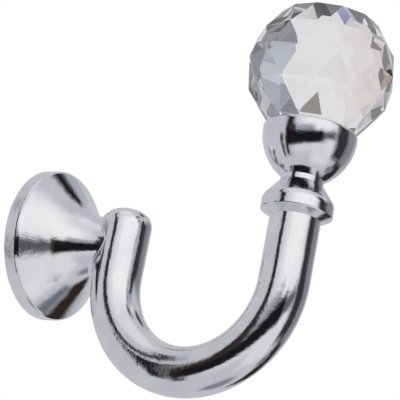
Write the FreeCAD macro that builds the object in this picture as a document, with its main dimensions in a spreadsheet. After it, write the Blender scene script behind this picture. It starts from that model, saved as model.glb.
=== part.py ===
import FreeCAD
import Part
import Sketcher
import enum
import math
import os

# Curtain holdback: a chrome plated cast hook with a wall rose and a cut-glass ball.
# Frame: origin at the middle of the rose's back face, +X out of the wall, +Z up, millimetres.

SIZES = (
    ("rose_diameter", "30.2"),
    ("rose_rim_thickness", "2.9"),
    ("rose_edge_round", "1.1"),
    ("rose_back_rim_width", "2.6"),
    ("rose_back_depth", "1.4"),
    ("neck_inset", "0.25"),
    ("neck_curve_radius", "14"),
    ("neck_arm_fillet", "1"),
    ("screw_boss_diameter", "11"),
    ("screw_hole_diameter", "4.2"),
    ("screw_hole_depth", "11"),
    ("arm_diameter", "9.9"),
    ("arm_offset", "18.1"),
    ("arm_end_rise", "2.65"),
    ("arm_end_round", "3.2"),
    ("bend_drop", "5.85"),
    ("bend_radius", "18.9"),
    ("collar_height", "7.5"),
    ("collar_diameter", "14"),
    ("collar_under_bevel", "1.1"),
    ("collar_band", "2.5"),
    ("collar_shoulder_round", "2.2"),
    ("collar_edge_round", "0.3"),
    ("waist_diameter", "8.4"),
    ("waist_foot", "6.05"),
    ("waist_height", "7.05"),
    ("cup_height", "17.1"),
    ("cup_rim_diameter", "18.3"),
    ("cup_curve_radius", "10.8"),
    ("cup_edge_round", "0.8"),
    ("ball_diameter", "29"),
    ("ball_facets_round", "12"),
    ("ball_ring_angle", "22.5"),
    ("ball_table_angle", "48.5"),
    ("ball_base_angle", "54.3"),
    ("ball_turn", "11"),
)

# Places that follow from the sizes above, each written once.
PLACES = (
    ("rose_radius", "sizes.rose_diameter / 2"),
    ("neck_radius", "sizes.arm_diameter / 2 - sizes.neck_inset"),
    ("arm_radius", "sizes.arm_diameter / 2"),
    ("arm_top", "sizes.arm_diameter / 2 + sizes.arm_end_rise"),
    ("back_recess_radius", "sizes.rose_diameter / 2 - sizes.rose_back_rim_width"),
    ("screw_boss_radius", "sizes.screw_boss_diameter / 2"),
    (
        "neck_curve_centre",
        "sizes.arm_diameter / 2 - sizes.neck_inset + sizes.neck_curve_radius",
    ),
    ("bend_start", "-sizes.bend_drop"),
    ("tip_offset", "sizes.arm_offset + 2 * sizes.bend_radius"),
    ("collar_radius", "sizes.collar_diameter / 2"),
    ("collar_foot", "-sizes.collar_under_bevel"),
    ("waist_radius", "sizes.waist_diameter / 2"),
    ("cup_rim_radius", "sizes.cup_rim_diameter / 2"),
)

doc = FreeCAD.newDocument("curtain_holdback")
sheet = doc.addObject("Spreadsheet::Sheet", "sizes")
for row, (alias, number) in enumerate(SIZES, start=1):
    sheet.set("A%d" % row, alias)
    sheet.set("B%d" % row, number)
    sheet.setAlias("B%d" % row, alias)
doc.recompute()

places = doc.addObject("App::VarSet", "places")
for place, formula in PLACES:
    places.addProperty("App::PropertyFloat", place)
    places.setExpression(place, formula)
doc.recompute()


def size(name):
    """Number behind a size or a place."""
    owner = places if name in places.PropertiesList else sheet
    return float(getattr(owner, name))


def bound(name):
    """Expression that follows a size or a place."""
    owner = "places" if name in places.PropertiesList else "sizes"
    return owner + "." + name


def origin_plane(body, role):
    return next(plane for plane in body.Origin.OriginFeatures if plane.Role == role)


def new_sketch(body, name, role):
    sketch = body.newObject("Sketcher::SketchObject", name)
    sketch.AttachmentSupport = [(origin_plane(body, role), "")]
    sketch.MapMode = "FlatFace"
    return sketch


class Point(enum.IntEnum):
    """Points of a sketch edge."""

    START = 1
    END = 2
    CENTRE = 3


class Axis(enum.IntEnum):
    """Axes of a sketch; the first one also carries the sketch origin."""

    ACROSS = -1
    UP = -2


ORIGIN = (Axis.ACROSS, Point.START)


def pin(sketch, geometry, point, across, up):
    """Hold one sketch point at named distances from the sketch origin; None means on the axis."""
    for kind, name, axis in (("DistanceX", across, Axis.UP), ("DistanceY", up, Axis.ACROSS)):
        if name is None:
            sketch.addConstraint(Sketcher.Constraint("PointOnObject", geometry, point, axis))
            continue
        distance = size(name)
        ends = ORIGIN + (geometry, point)
        formula = bound(name)
        if distance < 0:
            ends = (geometry, point) + ORIGIN
            formula = "-" + formula
        number = sketch.addConstraint(Sketcher.Constraint(kind, *ends, abs(distance)))
        sketch.setExpression("Constraints[%d]" % number, formula)


def spot(across, up):
    """Sketch point at two named distances."""
    return FreeCAD.Vector(
        0 if across is None else size(across),
        0 if up is None else size(up),
        0,
    )


def arc_through(first, last, radius, turn):
    """Short arc from first to last; turn +1 bulges right of the way from first to last, -1 left."""
    chord = last.sub(first)
    half = chord.Length / 2
    sideways = FreeCAD.Vector(chord.y, -chord.x, 0).normalize()
    rise = math.sqrt(radius * radius - half * half)
    centre = first.add(last).multiply(0.5).sub(sideways * (turn * rise))
    middle = centre.add(sideways * (turn * radius))
    return Part.Arc(first, middle, last)


def arc_end(sketch, geometry, place):
    """Which end of a sketch edge lies at a place."""
    near_start = sketch.getPoint(geometry, Point.START).distanceToPoint(place)
    near_end = sketch.getPoint(geometry, Point.END).distanceToPoint(place)
    return Point.START if near_start < near_end else Point.END


def closed_outline(sketch, corners, arcs):
    """Closed outline through named corners; arcs maps the corner an arc starts from to its size."""
    count = len(corners)
    for index, corner in enumerate(corners):
        first = spot(*corner)
        last = spot(*corners[(index + 1) % count])
        if index in arcs:
            radius, turn = arcs[index]
            sketch.addGeometry(arc_through(first, last, size(radius), turn), False)
        else:
            sketch.addGeometry(Part.LineSegment(first, last), False)
    for index, corner in enumerate(corners):
        pin(sketch, index, arc_end(sketch, index, spot(*corner)), *corner)
    for index in range(count):
        follower = (index + 1) % count
        here = arc_end(sketch, index, spot(*corners[follower]))
        there = arc_end(sketch, follower, spot(*corners[follower]))
        sketch.addConstraint(Sketcher.Constraint("Coincident", index, here, follower, there))
    for index, (radius, turn) in arcs.items():
        number = sketch.addConstraint(Sketcher.Constraint("Radius", index, size(radius)))
        sketch.setExpression("Constraints[%d]" % number, bound(radius))


def edges_where(feature, test):
    """Names of the edges of a feature's shape that pass a test."""
    edges = feature.Shape.Edges
    return ["Edge%d" % number for number, edge in enumerate(edges, start=1) if test(edge)]


def round_edges(body, name, base, test, radius):
    """Fillet on the chosen edges of the base feature."""
    doc.recompute()
    chosen = edges_where(base, test)
    if not chosen:
        raise RuntimeError("no edges found for " + name)
    fillet = body.newObject("PartDesign::Fillet", name)
    fillet.Base = (base, chosen)
    fillet.setExpression("Radius", bound(radius))
    doc.recompute()
    return fillet


def circle_at(edge, radius, axis, height):
    """True for a circular edge of a given radius lying at a height along an axis."""
    if not isinstance(edge.Curve, Part.Circle):
        return False
    level = edge.Curve.Center.dot(axis)
    return abs(edge.Curve.Radius - radius) < 0.01 and abs(level - height) < 0.01


OUT = FreeCAD.Vector(1, 0, 0)
UP = FreeCAD.Vector(0, 0, 1)

hook = doc.addObject("PartDesign::Body", "hook_casting")
hook.Label = "hook_casting"

# Wall rose: flat rim, straight flare and a trumpet neck that runs into the arm.
rose_sketch = new_sketch(hook, "rose_outline", "XZ_Plane")
rim_edge = spot("rose_rim_thickness", "rose_radius")
curve_centre = spot("arm_offset", "neck_curve_centre")
to_centre = curve_centre.sub(rim_edge)
flare_angle = math.atan2(to_centre.y, to_centre.x)
flare_angle -= math.asin(size("neck_curve_radius") / to_centre.Length)
flare_length = math.sqrt(to_centre.Length ** 2 - size("neck_curve_radius") ** 2)
flare_way = FreeCAD.Vector(math.cos(flare_angle), math.sin(flare_angle), 0)
flare_end = rim_edge.add(flare_way * flare_length)
neck_end = spot("arm_offset", "neck_radius")
curve_middle = flare_end.add(neck_end).multiply(0.5).sub(curve_centre).normalize()
neck_curve = Part.Arc(flare_end, curve_centre.add(curve_middle * size("neck_curve_radius")), neck_end)
AXIS_LINE, BACK_LINE, RIM_LINE, FLARE_LINE, NECK_ARC, END_LINE = range(6)
rose_sketch.addGeometry(Part.LineSegment(spot("arm_offset", None), spot(None, None)), False)
rose_sketch.addGeometry(Part.LineSegment(spot(None, None), spot(None, "rose_radius")), False)
rose_sketch.addGeometry(Part.LineSegment(spot(None, "rose_radius"), rim_edge), False)
rose_sketch.addGeometry(Part.LineSegment(rim_edge, flare_end), False)
rose_sketch.addGeometry(neck_curve, False)
rose_sketch.addGeometry(Part.LineSegment(neck_end, spot("arm_offset", None)), False)
arc_foot = arc_end(rose_sketch, NECK_ARC, flare_end)
arc_head = arc_end(rose_sketch, NECK_ARC, neck_end)
pin(rose_sketch, AXIS_LINE, Point.START, "arm_offset", None)
pin(rose_sketch, BACK_LINE, Point.START, None, None)
pin(rose_sketch, RIM_LINE, Point.START, None, "rose_radius")
pin(rose_sketch, FLARE_LINE, Point.START, "rose_rim_thickness", "rose_radius")
pin(rose_sketch, NECK_ARC, Point.CENTRE, "arm_offset", "neck_curve_centre")
pin(rose_sketch, END_LINE, Point.START, "arm_offset", "neck_radius")
for first, second in ((AXIS_LINE, BACK_LINE), (BACK_LINE, RIM_LINE), (RIM_LINE, FLARE_LINE)):
    rose_sketch.addConstraint(Sketcher.Constraint("Coincident", first, Point.END, second, Point.START))
rose_sketch.addConstraint(Sketcher.Constraint("Tangent", FLARE_LINE, Point.END, NECK_ARC, arc_foot))
rose_sketch.addConstraint(Sketcher.Constraint("Coincident", NECK_ARC, arc_head, END_LINE, Point.START))
rose_sketch.addConstraint(Sketcher.Constraint("Coincident", END_LINE, Point.END, AXIS_LINE, Point.START))
rose = hook.newObject("PartDesign::Revolution", "rose")
rose.Profile = rose_sketch
rose.ReferenceAxis = (rose_sketch, ["H_Axis"])
rose.Angle = 360
doc.recompute()

# Arm: round bar that drops from the neck, turns through a half circle and rises to the tip.
path_sketch = new_sketch(hook, "arm_path", "XZ_Plane")
arm_foot = spot("arm_offset", "bend_start")
tip_foot = spot("tip_offset", "bend_start")
bend_bottom = arm_foot.add(tip_foot).multiply(0.5).sub(FreeCAD.Vector(0, size("bend_radius"), 0))
path_sketch.addGeometry(Part.LineSegment(spot("arm_offset", "arm_top"), arm_foot), False)
path_sketch.addGeometry(Part.Arc(arm_foot, bend_bottom, tip_foot), False)
path_sketch.addGeometry(Part.LineSegment(tip_foot, spot("tip_offset", "collar_height")), False)
ARM_LINE, BEND_ARC, TIP_LINE = range(3)
bend_in = arc_end(path_sketch, BEND_ARC, arm_foot)
bend_out = arc_end(path_sketch, BEND_ARC, tip_foot)
pin(path_sketch, ARM_LINE, Point.START, "arm_offset", "arm_top")
pin(path_sketch, ARM_LINE, Point.END, "arm_offset", "bend_start")
pin(path_sketch, TIP_LINE, Point.START, "tip_offset", "bend_start")
pin(path_sketch, TIP_LINE, Point.END, "tip_offset", "collar_height")
path_sketch.addConstraint(Sketcher.Constraint("Tangent", ARM_LINE, Point.END, BEND_ARC, bend_in))
path_sketch.addConstraint(Sketcher.Constraint("Coincident", BEND_ARC, bend_out, TIP_LINE, Point.START))
section_sketch = new_sketch(hook, "arm_section", "XY_Plane")
section_sketch.setExpression("AttachmentOffset.Base.x", bound("arm_offset"))
section_sketch.setExpression("AttachmentOffset.Base.z", bound("arm_top"))
section_sketch.addGeometry(Part.Circle(FreeCAD.Vector(0, 0, 0), UP, size("arm_radius")), False)
section_sketch.addConstraint(Sketcher.Constraint("Coincident", 0, Point.CENTRE, *ORIGIN))
section_radius = section_sketch.addConstraint(Sketcher.Constraint("Radius", 0, size("arm_radius")))
section_sketch.setExpression("Constraints[%d]" % section_radius, bound("arm_radius"))
doc.recompute()
arm = hook.newObject("PartDesign::AdditivePipe", "arm")
arm.Profile = section_sketch
arm.Spine = (path_sketch, ["Edge1", "Edge2", "Edge3"])
doc.recompute()

# Tip: bevelled collar, cone, short narrow waist and the cup that carries the ball.
tip_sketch = new_sketch(hook, "tip_outline", "XZ_Plane")
tip_sketch.setExpression("AttachmentOffset.Base.x", bound("tip_offset"))
tip_sketch.setExpression("AttachmentOffset.Base.y", bound("collar_height"))
FROM_WAIST = 5
closed_outline(
    tip_sketch,
    (
        (None, "collar_foot"),
        ("arm_radius", "collar_foot"),
        ("collar_radius", None),
        ("collar_radius", "collar_band"),
        ("waist_radius", "waist_foot"),
        ("waist_radius", "waist_height"),
        ("cup_rim_radius", "cup_height"),
        (None, "cup_height"),
    ),
    {FROM_WAIST: ("cup_curve_radius", 1)},
)
tip = hook.newObject("PartDesign::Revolution", "tip")
tip.Profile = tip_sketch
tip.ReferenceAxis = (tip_sketch, ["V_Axis"])
tip.Angle = 360
doc.recompute()

# Softened edges left by casting and polishing.
neck_fillet = round_edges(
    hook,
    "neck_fillet",
    tip,
    lambda edge: isinstance(edge.Curve, Part.BSplineCurve),
    "neck_arm_fillet",
)
arm_end = round_edges(
    hook,
    "arm_end",
    neck_fillet,
    lambda edge: circle_at(edge, size("arm_radius"), UP, size("arm_top")),
    "arm_end_round",
)
rose_edge = round_edges(
    hook,
    "rose_edge",
    arm_end,
    lambda edge: circle_at(edge, size("rose_radius"), OUT, size("rose_rim_thickness")),
    "rose_edge_round",
)
collar_shoulder_level = size("collar_height") + size("collar_band")
collar_shoulder = round_edges(
    hook,
    "collar_shoulder",
    rose_edge,
    lambda edge: circle_at(edge, size("collar_radius"), UP, collar_shoulder_level),
    "collar_shoulder_round",
)
collar_edge = round_edges(
    hook,
    "collar_edge",
    collar_shoulder,
    lambda edge: circle_at(edge, size("collar_radius"), UP, size("collar_height")),
    "collar_edge_round",
)
cup_top = size("collar_height") + size("cup_height")
cup_edge = round_edges(
    hook,
    "cup_edge",
    collar_edge,
    lambda edge: circle_at(edge, size("cup_rim_radius"), UP, cup_top),
    "cup_edge_round",
)

# Back of the rose: a shallow recess leaves a rim on the wall and a boss around the screw hole.
recess_sketch = new_sketch(hook, "back_recess_outline", "XZ_Plane")
closed_outline(
    recess_sketch,
    (
        (None, "screw_boss_radius"),
        ("rose_back_depth", "screw_boss_radius"),
        ("rose_back_depth", "back_recess_radius"),
        (None, "back_recess_radius"),
    ),
    {},
)
recess = hook.newObject("PartDesign::Groove", "back_recess")
recess.Profile = recess_sketch
recess.ReferenceAxis = (recess_sketch, ["H_Axis"])
recess.Angle = 360
doc.recompute()

# Tapped hole for the wall screw, ending in a drill point.
hole_sketch = new_sketch(hook, "screw_hole_centre", "YZ_Plane")
hole_sketch.addGeometry(Part.Circle(FreeCAD.Vector(0, 0, 0), UP, size("screw_hole_diameter") / 2), False)
hole_sketch.addConstraint(Sketcher.Constraint("Coincident", 0, Point.CENTRE, *ORIGIN))
hole_width = hole_sketch.addConstraint(
    Sketcher.Constraint("Diameter", 0, size("screw_hole_diameter"))
)
hole_sketch.setExpression("Constraints[%d]" % hole_width, bound("screw_hole_diameter"))
doc.recompute()
screw_hole = hook.newObject("PartDesign::Hole", "screw_hole")
screw_hole.Profile = hole_sketch
screw_hole.DepthType = "Dimension"
screw_hole.DrillPoint = "Angled"
screw_hole.DrillPointAngle = 118
screw_hole.Reversed = True
screw_hole.setExpression("Diameter", bound("screw_hole_diameter"))
screw_hole.setExpression("Depth", bound("screw_hole_depth"))
doc.recompute()

# Cut-glass ball: rings of corners on a sphere, every ring turned half a step from its neighbours,
# joined by triangular facets and closed by a flat table on top and a flat base on the cup.
ball_radius = size("ball_diameter") / 2
facets_round = int(size("ball_facets_round"))
step = 360 / facets_round
ring_levels = (
    -size("ball_base_angle"),
    -size("ball_ring_angle"),
    0,
    size("ball_ring_angle"),
    size("ball_table_angle"),
)


def ball_ring(number):
    """Corners of one ring, counted up from the base."""
    level = math.radians(ring_levels[number])
    corners = []
    for place in range(facets_round):
        way = math.radians(size("ball_turn") + step * (place + number % 2 / 2))
        corners.append(FreeCAD.Vector(
            ball_radius * math.cos(level) * math.cos(way),
            ball_radius * math.cos(level) * math.sin(way),
            ball_radius * math.sin(level),
        ))
    return corners


def facet(*corners):
    return Part.Face(Part.makePolygon(list(corners) + [corners[0]]))


rings = [ball_ring(number) for number in range(len(ring_levels))]
facets = [facet(*rings[0]), facet(*rings[-1])]
for number in range(len(rings) - 1):
    lower = rings[number]
    upper = rings[number + 1]
    for place in range(facets_round):
        after = (place + 1) % facets_round
        if number % 2:
            facets.append(facet(lower[place], lower[after], upper[after]))
            facets.append(facet(upper[place], upper[after], lower[place]))
        else:
            facets.append(facet(lower[place], lower[after], upper[place]))
            facets.append(facet(upper[place], upper[after], lower[after]))
ball = doc.addObject("Part::Feature", "crystal_ball")
ball.Label = "crystal_ball"
ball.Shape = Part.makeSolid(Part.makeShell(facets))
ball_base_drop = ball_radius * math.sin(math.radians(size("ball_base_angle")))
ball.Placement = FreeCAD.Placement(
    FreeCAD.Vector(size("tip_offset"), 0, cup_top + ball_base_drop),
    FreeCAD.Rotation(),
)
doc.recompute()

# Every feature must have built, then each piece is written to its own file.
for item in doc.Objects:
    if "Invalid" in item.State or "Error" in item.State:
        raise RuntimeError("not built: " + item.Name)
if recess.Shape.Volume >= cup_edge.Shape.Volume:
    raise RuntimeError("the back recess removed nothing")
if screw_hole.Shape.Volume >= recess.Shape.Volume:
    raise RuntimeError("the screw hole removed nothing")
os.makedirs("parts", exist_ok=True)
for piece in (hook, ball):
    shape = piece.Shape
    if shape.isNull() or not shape.isValid() or len(shape.Solids) != 1:
        raise RuntimeError("not a sound solid: " + piece.Label)
    shape.exportStep("parts/" + piece.Label + ".step")
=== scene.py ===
import math

import bpy
from mathutils import Matrix, Vector

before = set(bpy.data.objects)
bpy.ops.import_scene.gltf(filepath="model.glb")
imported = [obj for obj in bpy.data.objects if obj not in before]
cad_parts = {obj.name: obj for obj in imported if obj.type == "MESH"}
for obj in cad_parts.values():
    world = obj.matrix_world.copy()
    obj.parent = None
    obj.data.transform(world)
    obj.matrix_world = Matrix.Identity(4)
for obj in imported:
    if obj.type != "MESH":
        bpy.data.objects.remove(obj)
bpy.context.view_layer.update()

# Camera of the photograph: turned round the hook, below its middle and rolled a little.
LOOK_AT = Vector((0.03388, 0.0, 0.01014))
CAMERA_AZIMUTH = math.radians(32.94)
CAMERA_ELEVATION = math.radians(-16.50)
CAMERA_ROLL = math.radians(10.90)
CAMERA_DISTANCE = 0.4116
CAMERA_LENS = 188.8

toward_camera = Vector((
    math.sin(CAMERA_AZIMUTH) * math.cos(CAMERA_ELEVATION),
    -math.cos(CAMERA_AZIMUTH) * math.cos(CAMERA_ELEVATION),
    math.sin(CAMERA_ELEVATION),
))
level_right = Vector((math.cos(CAMERA_AZIMUTH), math.sin(CAMERA_AZIMUTH), 0.0))
level_up = toward_camera.cross(level_right)
picture_right = math.cos(CAMERA_ROLL) * level_right + math.sin(CAMERA_ROLL) * level_up
picture_up = math.cos(CAMERA_ROLL) * level_up - math.sin(CAMERA_ROLL) * level_right

# Polish of the plating: noise scale, noise detail and height in metres.
SLOW_WAVE = (420.0, 1.0, 0.00004)
FINE_RIPPLE = (3400.0, 2.0, 0.000017)

# Cloudy haze of the plating: noise scale and detail, and the noise values it runs between.
HAZE_SCALE = 190.0
HAZE_DETAIL = 4.0
HAZE_START = 0.35
HAZE_END = 0.65
CLEAR_ROUGHNESS = 0.015
HAZY_ROUGHNESS = 0.06
BRIGHT_PLATING = (0.97, 0.97, 0.975)
DULL_PLATING = (0.76, 0.765, 0.80)

# Thread of the screw hole in the back, in metres.
THREAD_PITCH = 0.0008
THREAD_RADIUS = 0.0022
THREAD_DEPTH = 0.0105
THREAD_HEIGHT = 0.0006

# Glass of the ball, and the even grey it is painted to glow with, a painted glow standing in for the
# light that its facets throw to and fro more often than this.
GLASS_IOR = 1.54
STRAY_LIGHT = (0.22, 0.215, 0.225)
STRAY_BOUNCES = 3.5

# Floor, in metres.
FLOOR_HALF = 4.0
FLOOR_LEVEL = -0.5
FLOOR_COLOUR = (0.9, 0.9, 0.9)

# Black card that the bend reflects: where it is seen from, in which direction and how large it is.
FLAG_SEEN_FROM = Vector((0.0273, -0.0046, -0.0238))
FLAG_AZIMUTH = math.radians(-68.0)
FLAG_ELEVATION = math.radians(4.0)
FLAG_DISTANCE = 0.10
FLAG_WIDTH = 0.016
FLAG_HEIGHT = 0.105
FLAG_COLOUR = (0.012, 0.010, 0.009)

# Tones of the tent cloth, its openings and the dim room behind them.
WHITE_CLOTH = (0.95, 0.95, 0.95)
PALE_CLOTH = (0.76, 0.76, 0.785)
GREY_CLOTH = (0.565, 0.565, 0.605)
SHADED_CLOTH = (0.33, 0.34, 0.38)
FAR_CLOTH = (0.24, 0.24, 0.27)
BLUE_CLOTH = (0.43, 0.46, 0.51)
BLUE_SHADE = (0.15, 0.165, 0.21)
DIM_ROOM = (0.13, 0.12, 0.13)
DARK_ROOM = (0.040, 0.036, 0.040)
BROWN_ROOM = (0.030, 0.020, 0.018)
BLACK_ROOM = (0.012, 0.010, 0.012)
WARM_CLOTH = (0.72, 0.68, 0.675)
PEARL_CLOTH = (0.765, 0.755, 0.755)
BROWN_CLOTH = (0.27, 0.25, 0.23)
SKY_CLOTH = (0.54, 0.58, 0.63)
BLUE_GLINT = (0.01, 0.04, 0.42)
AMBER_GLINT = (0.50, 0.38, 0.31)

# Patches laid over the tent in turn, as the camera sees round the hook in degrees:
# name, middle azimuth (to the right), middle elevation, half width, half height, lean, softness, tone.
TENT_PATCHES = (
    ("front cloth", 19, 25, 59, 50, 0.0, 18, PALE_CLOTH),
    ("lamp on the front cloth", 27, 34, 40, 20, 0.0, 14, WHITE_CLOTH),
    ("low front cloth", 36, -32, 34, 26, 0.0, 10, PALE_CLOTH),
    ("top of the tent", 0, 84, 180, 14, 0.0, 8, PALE_CLOTH),
    ("shade straight below", 0, -88, 180, 11, 0.0, 5, FAR_CLOTH),
    ("bluish panel behind", 147, 2, 11, 34, 0.0, 4, BLUE_CLOTH),
    ("far cloth on the right", 116, -12, 24, 26, 0.0, 10, FAR_CLOTH),
    ("bluish shade low on the right", 101, -54, 13, 5, 0.0, 4, BLUE_SHADE),
    ("low gap on the right", 112, -42, 16, 6, 0.0, 4, DARK_ROOM),
    ("low brown gap behind", 138, -47, 21, 14, 0.0, 4, BROWN_ROOM),
    ("lower right opening", 84, -16, 20, 24, 0.0, 7, DARK_ROOM),
    ("upper right opening", 84, 13, 12, 21, 0.0, 6, DARK_ROOM),
    ("high slit behind", 133, 39, 13, 6, 0.0, 4, BLACK_ROOM),
    ("leaning slit on the left", -78, 49, 28, 5, -0.46, 4, BLACK_ROOM),
    ("foot of the left opening", -61, -18, 5, 14, 0.0, 3, BROWN_ROOM),
    ("left opening", -57, 15, 9.5, 29, 0.0, 3, BROWN_ROOM),
    ("shade over the camera opening", -14, 16, 24, 9, 0.0, 6, SHADED_CLOTH),
    ("dim end of the camera opening", 46, 0, 16, 8, 0.0, 4, DIM_ROOM),
    ("corner of the camera opening", -45, 19, 8, 10, -0.6, 4, DARK_ROOM),
    ("camera opening", -14, 0, 46, 13.5, 0.0, 3, BLACK_ROOM),
)

# Patches that only the glass ball shows, where it bends the light apart.
GLINT_PATCHES = (
    ("pearly backdrop", 191, -3, 33, 52, 0.0, 3, PEARL_CLOTH),
    ("warm side of the backdrop", -150, 0, 18, 34, 0.0, 12, WARM_CLOTH),
    ("low grey facet on the left", 152, -23, 8, 5, 0.0, 3, FAR_CLOTH),
    ("brown facet above the cup", 174, 22, 4, 3, 0.0, 1.5, BROWN_CLOTH),
    ("grey facet beside it", 161, 23, 4, 3, 0.0, 1.5, FAR_CLOTH),
    ("dark facet at the top", 181, -50, 11, 6, 0.0, 2, DARK_ROOM),
    ("blue glint at the top", -157, -54, 9, 5, 0.0, 2, BLUE_GLINT),
    ("blue glint beside it", -112, -41, 14, 9, 0.0, 2, BLUE_GLINT),
    ("amber glint on the right", -22, 0, 16, 10, 0.0, 3, AMBER_GLINT),
    ("sky-blue facets on the left", 147, 4, 9, 9, 0.0, 4, SKY_CLOTH),
    ("shaded facets above them", 147, 18, 10, 4, 0.0, 2, SHADED_CLOTH),
    ("dim facets at the upper left", 149, 30, 16, 6, 0.0, 3, FAR_CLOTH),
)


def place_camera():
    lens = bpy.data.cameras.new("photo_camera")
    lens.sensor_width = 36.0
    lens.lens = CAMERA_LENS
    lens.clip_start = 0.01
    lens.clip_end = 20.0
    camera = bpy.data.objects.new("photo_camera", lens)
    bpy.context.scene.collection.objects.link(camera)
    turn = Matrix((picture_right, picture_up, toward_camera)).transposed()
    camera.matrix_world = Matrix.Translation(LOOK_AT + CAMERA_DISTANCE * toward_camera) @ turn.to_4x4()
    bpy.context.scene.camera = camera


def reckon(tree, operation, *values):
    """Math node fed with numbers and links."""
    node = tree.nodes.new("ShaderNodeMath")
    node.operation = operation
    for socket, value in zip(node.inputs, values):
        if isinstance(value, (int, float)):
            socket.default_value = value
        else:
            tree.links.new(value, socket)
    return node.outputs[0]


def fade(tree, value, start, end):
    """1 below start, 0 above end, smooth between."""
    node = tree.nodes.new("ShaderNodeMapRange")
    node.interpolation_type = "SMOOTHSTEP"
    tree.links.new(value, node.inputs["Value"])
    node.inputs["From Min"].default_value = start
    node.inputs["From Max"].default_value = end
    node.inputs["To Min"].default_value = 1.0
    node.inputs["To Max"].default_value = 0.0
    return node.outputs["Result"]


def lay_over(tree, cover, under, over):
    """Colour under, with the colour over laid on it where cover is 1."""
    node = tree.nodes.new("ShaderNodeMix")
    node.data_type = "RGBA"
    tree.links.new(cover, node.inputs["Factor"])
    for socket, colour in ((node.inputs[6], under), (node.inputs[7], over)):
        if isinstance(colour, tuple):
            socket.default_value = (*colour, 1.0)
        else:
            tree.links.new(colour, socket)
    return node.outputs[2]


def studio_tent():
    """White tent round the hook, with the dark openings that polished metal shows as streaks."""
    world = bpy.data.worlds.new("white_tent")
    bpy.context.scene.world = world
    world.use_nodes = True
    tree = world.node_tree
    tree.nodes.clear()
    way = tree.nodes.new("ShaderNodeTexCoord").outputs["Generated"]

    def along(vector):
        node = tree.nodes.new("ShaderNodeVectorMath")
        node.operation = "DOT_PRODUCT"
        tree.links.new(way, node.inputs[0])
        node.inputs[1].default_value = vector
        return node.outputs["Value"]

    to_degrees = 180 / math.pi
    around = reckon(tree, "ARCTAN2", along(picture_right), along(toward_camera))
    azimuth = reckon(tree, "MULTIPLY", around, to_degrees)
    elevation = reckon(tree, "MULTIPLY", reckon(tree, "ARCSINE", along(picture_up)), to_degrees)

    ray = tree.nodes.new("ShaderNodeLightPath")
    tone = GREY_CLOTH
    for patch in TENT_PATCHES + GLINT_PATCHES:
        name, middle, height, half_width, half_height, lean, soft, colour = patch
        across = reckon(tree, "WRAP", reckon(tree, "SUBTRACT", azimuth, middle), 180, -180)
        rise = reckon(tree, "SUBTRACT", elevation, height)
        if lean:
            rise = reckon(tree, "SUBTRACT", rise, reckon(tree, "MULTIPLY", across, lean))
        inside_across = fade(tree, reckon(tree, "ABSOLUTE", across), half_width - soft, half_width + soft)
        inside_rise = fade(tree, reckon(tree, "ABSOLUTE", rise), half_height - soft, half_height + soft)
        cover = reckon(tree, "MULTIPLY", inside_across, inside_rise)
        if patch in GLINT_PATCHES:
            cover = reckon(tree, "MULTIPLY", cover, ray.outputs["Is Transmission Ray"])
        tone = lay_over(tree, cover, tone, colour)
        tone.node.label = name

    tent = tree.nodes.new("ShaderNodeBackground")
    tree.links.new(tone, tent.inputs["Color"])
    backdrop = tree.nodes.new("ShaderNodeBackground")
    backdrop.inputs["Color"].default_value = (1.0, 1.0, 1.0, 1.0)
    blend = tree.nodes.new("ShaderNodeMixShader")
    plain = reckon(tree, "MAXIMUM", ray.outputs["Is Camera Ray"], ray.outputs["Is Diffuse Ray"])
    tree.links.new(plain, blend.inputs["Fac"])
    tree.links.new(tent.outputs[0], blend.inputs[1])
    tree.links.new(backdrop.outputs[0], blend.inputs[2])
    out = tree.nodes.new("ShaderNodeOutputWorld")
    tree.links.new(blend.outputs[0], out.inputs["Surface"])


def screw_thread(tree, place):
    """Height of the thread cut in the screw hole, which runs along X from the wall face."""
    axes = tree.nodes.new("ShaderNodeSeparateXYZ")
    tree.links.new(place, axes.inputs[0])
    along, across, up = axes.outputs
    turn = reckon(tree, "DIVIDE", reckon(tree, "ARCTAN2", up, across), 2 * math.pi)
    winding = reckon(tree, "ADD", reckon(tree, "DIVIDE", along, THREAD_PITCH), turn)
    flank = reckon(tree, "PINGPONG", winding, 0.5)
    squares = reckon(tree, "ADD", reckon(tree, "POWER", across, 2), reckon(tree, "POWER", up, 2))
    radius = reckon(tree, "SQRT", squares)
    in_hole = reckon(tree, "LESS_THAN", radius, THREAD_RADIUS)
    cut = reckon(tree, "LESS_THAN", along, THREAD_DEPTH)
    return reckon(tree, "MULTIPLY", flank, reckon(tree, "MULTIPLY", in_hole, cut))


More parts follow.
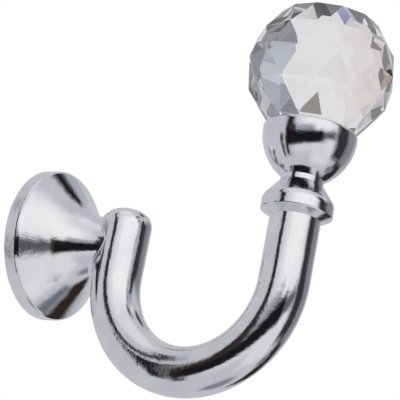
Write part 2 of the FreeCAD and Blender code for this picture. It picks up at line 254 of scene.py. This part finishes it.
def polish_marks():
    """Node group: gentle waviness and fine ripple of hand-polished plating, and the cut thread."""
    group = bpy.data.node_groups.new("polish_marks", "ShaderNodeTree")
    group.interface.new_socket("Normal", in_out="OUTPUT", socket_type="NodeSocketVector")
    group.interface.new_socket("Roughness", in_out="OUTPUT", socket_type="NodeSocketFloat")
    group.interface.new_socket("Plating", in_out="OUTPUT", socket_type="NodeSocketColor")
    place = group.nodes.new("ShaderNodeTexCoord").outputs["Object"]

    def mottle(scale, detail):
        noise = group.nodes.new("ShaderNodeTexNoise")
        noise.inputs["Scale"].default_value = scale
        noise.inputs["Detail"].default_value = detail
        group.links.new(place, noise.inputs["Vector"])
        return noise.outputs["Fac"]

    heights = [(mottle(scale, detail), height) for scale, detail, height in (SLOW_WAVE, FINE_RIPPLE)]
    heights.append((screw_thread(group, place), THREAD_HEIGHT))
    normal = None
    for height, distance in heights:
        bump = group.nodes.new("ShaderNodeBump")
        bump.inputs["Distance"].default_value = distance
        group.links.new(height, bump.inputs["Height"])
        if normal is not None:
            group.links.new(normal, bump.inputs["Normal"])
        normal = bump.outputs["Normal"]

    cloud = mottle(HAZE_SCALE, HAZE_DETAIL)
    haze = group.nodes.new("ShaderNodeMapRange")
    group.links.new(cloud, haze.inputs["Value"])
    haze.inputs["From Min"].default_value = HAZE_START
    haze.inputs["From Max"].default_value = HAZE_END
    haze.inputs["To Min"].default_value = CLEAR_ROUGHNESS
    haze.inputs["To Max"].default_value = HAZY_ROUGHNESS
    out = group.nodes.new("NodeGroupOutput")
    group.links.new(lay_over(group, cloud, BRIGHT_PLATING, DULL_PLATING), out.inputs["Plating"])
    group.links.new(normal, out.inputs["Normal"])
    group.links.new(haze.outputs["Result"], out.inputs["Roughness"])
    return group


def polished_chrome():
    material = bpy.data.materials.new("polished_chrome")
    material.use_nodes = True
    tree = material.node_tree
    shader = tree.nodes["Principled BSDF"]
    shader.inputs["Metallic"].default_value = 1.0
    marks = tree.nodes.new("ShaderNodeGroup")
    marks.node_tree = polish_marks()
    tree.links.new(marks.outputs["Plating"], shader.inputs["Base Color"])
    tree.links.new(marks.outputs["Roughness"], shader.inputs["Roughness"])
    tree.links.new(marks.outputs["Normal"], shader.inputs["Normal"])
    return material


def cut_glass():
    material = bpy.data.materials.new("cut_glass")
    material.use_nodes = True
    tree = material.node_tree
    shader = tree.nodes["Principled BSDF"]
    shader.inputs["Base Color"].default_value = (1.0, 1.0, 1.0, 1.0)
    shader.inputs["Roughness"].default_value = 0.0
    shader.inputs["IOR"].default_value = GLASS_IOR
    shader.inputs["Transmission Weight"].default_value = 1.0
    # Past that many bounces the glass glows an even grey: a painted glow standing in for the light thrown
    # to and fro between the facets.
    depth = tree.nodes.new("ShaderNodeLightPath").outputs["Ray Depth"]
    painted_stray_glow = tree.nodes.new("ShaderNodeEmission")
    painted_stray_glow.inputs["Color"].default_value = (*STRAY_LIGHT, 1.0)
    blend = tree.nodes.new("ShaderNodeMixShader")
    tree.links.new(reckon(tree, "GREATER_THAN", depth, STRAY_BOUNCES), blend.inputs["Fac"])
    tree.links.new(shader.outputs["BSDF"], blend.inputs[1])
    tree.links.new(painted_stray_glow.outputs["Emission"], blend.inputs[2])
    tree.links.new(blend.outputs["Shader"], tree.nodes["Material Output"].inputs["Surface"])
    return material


def flat_sheet(name, corners):
    """Four-cornered sheet in the studio round the hook."""
    mesh = bpy.data.meshes.new(name)
    mesh.from_pydata(corners, [], [(0, 1, 2, 3)])
    sheet = bpy.data.objects.new(name, mesh)
    bpy.context.scene.collection.objects.link(sheet)
    return sheet


def dull_paint(name, colour, roughness, gloss):
    """Plain material of a studio sheet."""
    material = bpy.data.materials.new(name)
    material.use_nodes = True
    shader = material.node_tree.nodes["Principled BSDF"]
    shader.inputs["Base Color"].default_value = (*colour, 1.0)
    shader.inputs["Roughness"].default_value = roughness
    shader.inputs["Specular IOR Level"].default_value = gloss
    return material


def pale_floor():
    half = FLOOR_HALF
    level = FLOOR_LEVEL
    corners = [(-half, -half, level), (half, -half, level), (half, half, level), (-half, half, level)]
    floor = flat_sheet("pale_floor", corners)
    floor.data.materials.append(dull_paint("pale_floor", FLOOR_COLOUR, roughness=0.8, gloss=0.5))
    floor.visible_glossy = False
    floor.visible_transmission = False


def black_flag():
    """Narrow black card held close on the left, seen only as the dark smear in the bend."""
    level = math.cos(FLAG_AZIMUTH) * toward_camera + math.sin(FLAG_AZIMUTH) * picture_right
    across = math.cos(FLAG_AZIMUTH) * picture_right - math.sin(FLAG_AZIMUTH) * toward_camera
    outward = math.cos(FLAG_ELEVATION) * level + math.sin(FLAG_ELEVATION) * picture_up
    upward = math.cos(FLAG_ELEVATION) * picture_up - math.sin(FLAG_ELEVATION) * level
    middle = FLAG_SEEN_FROM + FLAG_DISTANCE * outward
    half_across = FLAG_WIDTH / 2 * across
    half_up = FLAG_HEIGHT / 2 * upward
    low_left = middle - half_across - half_up
    low_right = middle + half_across - half_up
    high_right = middle + half_across + half_up
    high_left = middle - half_across + half_up
    flag = flat_sheet("black_flag", [low_left, low_right, high_right, high_left])
    flag.data.materials.append(dull_paint("black_card", FLAG_COLOUR, roughness=1.0, gloss=0.0))
    flag.visible_camera = False
    flag.visible_diffuse = False
    flag.visible_transmission = False
    flag.visible_shadow = False


bpy.context.scene.view_settings.view_transform = "Standard"
place_camera()
studio_tent()
pale_floor()
black_flag()
for name, material in (("hook_casting", polished_chrome()), ("crystal_ball", cut_glass())):
    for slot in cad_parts[name].material_slots:
        slot.material = material
